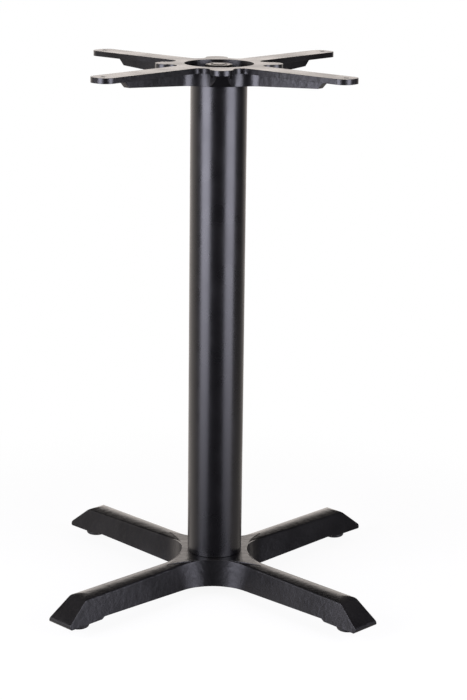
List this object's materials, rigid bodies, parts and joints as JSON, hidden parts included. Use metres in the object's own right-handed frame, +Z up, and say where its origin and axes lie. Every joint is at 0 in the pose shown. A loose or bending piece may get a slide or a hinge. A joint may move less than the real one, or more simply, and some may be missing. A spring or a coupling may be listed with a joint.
{
  "type": "dining table base",
  "caption": "Pedestal table base: a cast cross base with domed legs on levelling glides, a round steel column and a ribbed cross top that a table top is screwed to.",
  "frame": {"origin": "on the floor, under the axis of the column", "axes": "+Z up along the column, -Y towards the viewer, +X to the viewer's right; the legs lie on the diagonals"},
  "size_m": [0.4356, 0.4356, 0.73],
  "materials": {
    "coated_casting": "satin black powder coat on cast iron",
    "coated_tube": "satin black powder coat on steel tube",
    "bright_steel": "bright zinc plate",
    "glide_plastic": "moulded black"
  },
  "bodies": {
    "frame": {"cross_base": "coated_casting", "column_tube": "coated_tube", "top_spider": "coated_casting", "tie_rod": "bright_steel", "top_nut": "bright_steel", "top_washer": "bright_steel", "bottom_nut": "bright_steel", "bottom_washer": "bright_steel"},
    "glide_back_right": {"glide_stud_back_right": "bright_steel", "glide_pad_back_right": "glide_plastic"},
    "glide_back_left": {"glide_stud_back_left": "bright_steel", "glide_pad_back_left": "glide_plastic"},
    "glide_front_left": {"glide_stud_front_left": "bright_steel", "glide_pad_front_left": "glide_plastic"},
    "glide_front_right": {"glide_stud_front_right": "bright_steel", "glide_pad_front_right": "glide_plastic"}
  },
  "joints": [
    {"name": "level_back_right", "type": "slide", "parent": "frame", "child": "glide_back_right", "axis": [0, 0, -1], "range_m": [0, 0.01]},
    {"name": "level_back_left", "type": "slide", "parent": "frame", "child": "glide_back_left", "axis": [0, 0, -1], "range_m": [0, 0.01]},
    {"name": "level_front_left", "type": "slide", "parent": "frame", "child": "glide_front_left", "axis": [0, 0, -1], "range_m": [0, 0.01]},
    {"name": "level_front_right", "type": "slide", "parent": "frame", "child": "glide_front_right", "axis": [0, 0, -1], "range_m": [0, 0.01]}
  ]
}
